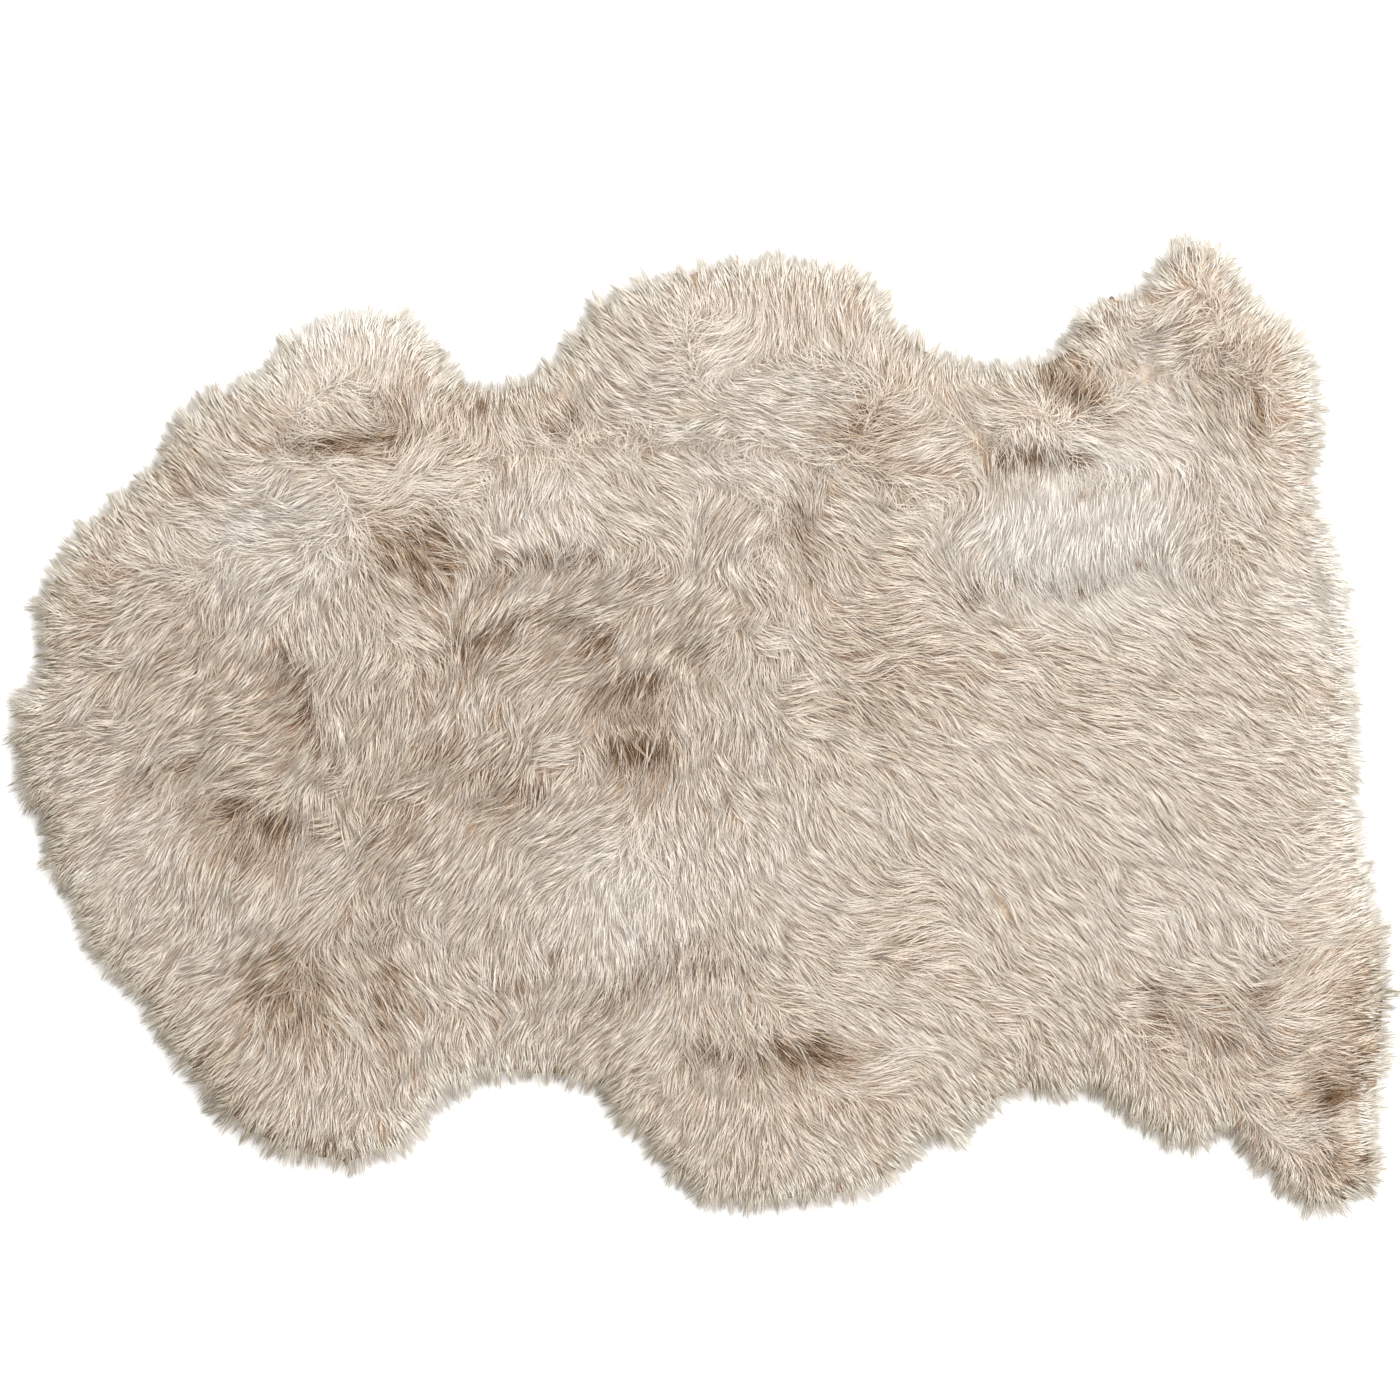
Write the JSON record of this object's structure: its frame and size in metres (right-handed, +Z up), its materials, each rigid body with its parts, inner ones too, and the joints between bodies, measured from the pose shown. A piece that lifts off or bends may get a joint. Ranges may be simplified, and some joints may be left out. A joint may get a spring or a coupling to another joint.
{
  "type": "lambskin",
  "caption": "Whole lambskin rug lying flat with its silky cream and beige wool up, the outline lobed as the skin was taken off and the rim feathered",
  "frame": {"origin": "centre of the skin's box in plan, on the face that lies on the floor", "axes": "+X along the skin's length towards its broad straight end, +Y across the skin, +Z up out of the wool"},
  "size_m": [0.9496, 0.6766, 0.0439],
  "materials": {
    "wool": "soft silky pile, undyed"
  },
  "bodies": {
    "root": {"lambskin": "wool"}
  },
  "joints": []
}
